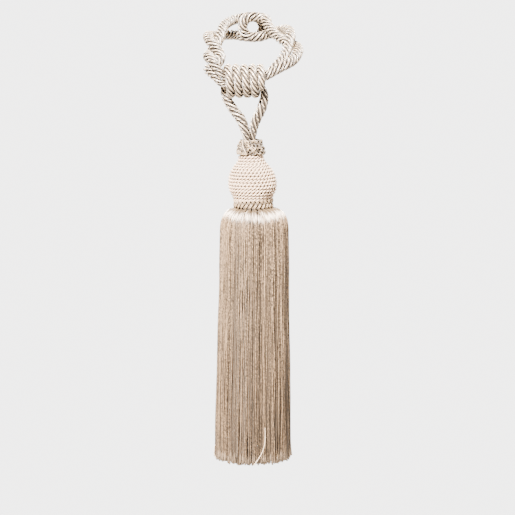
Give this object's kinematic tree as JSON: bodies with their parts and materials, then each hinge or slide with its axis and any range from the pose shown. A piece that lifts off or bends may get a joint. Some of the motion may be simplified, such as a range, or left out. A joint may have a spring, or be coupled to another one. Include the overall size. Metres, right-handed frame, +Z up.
{
  "type": "curtain tieback tassel",
  "caption": "Curtain tieback: doubled rope loops on a wall hook, a wound rope knot, and a tassel with a cord-wound head and a long cut fringe.",
  "frame": {"origin": "seat of the wall hook: the middle of the eye that the two rope bights form, at the plane of the wall", "axes": "+Z up, +Y towards the wall, +X to the right as seen from the room"},
  "size_m": [0.0941, 0.1573, 0.4191],
  "materials": {
    "ivory_rope": "satin viscose rope",
    "ivory_gimp": "gimp braid",
    "ivory_cord": "fine twisted cord",
    "beige_fringe": "satin viscose thread"
  },
  "bodies": {
    "root": {"embrace_left": "ivory_rope", "embrace_right": "ivory_rope", "hanging_rope": "ivory_rope", "ruff": "ivory_gimp", "head": "ivory_cord", "collar": "ivory_gimp", "skirt": "beige_fringe"}
  },
  "joints": []
}
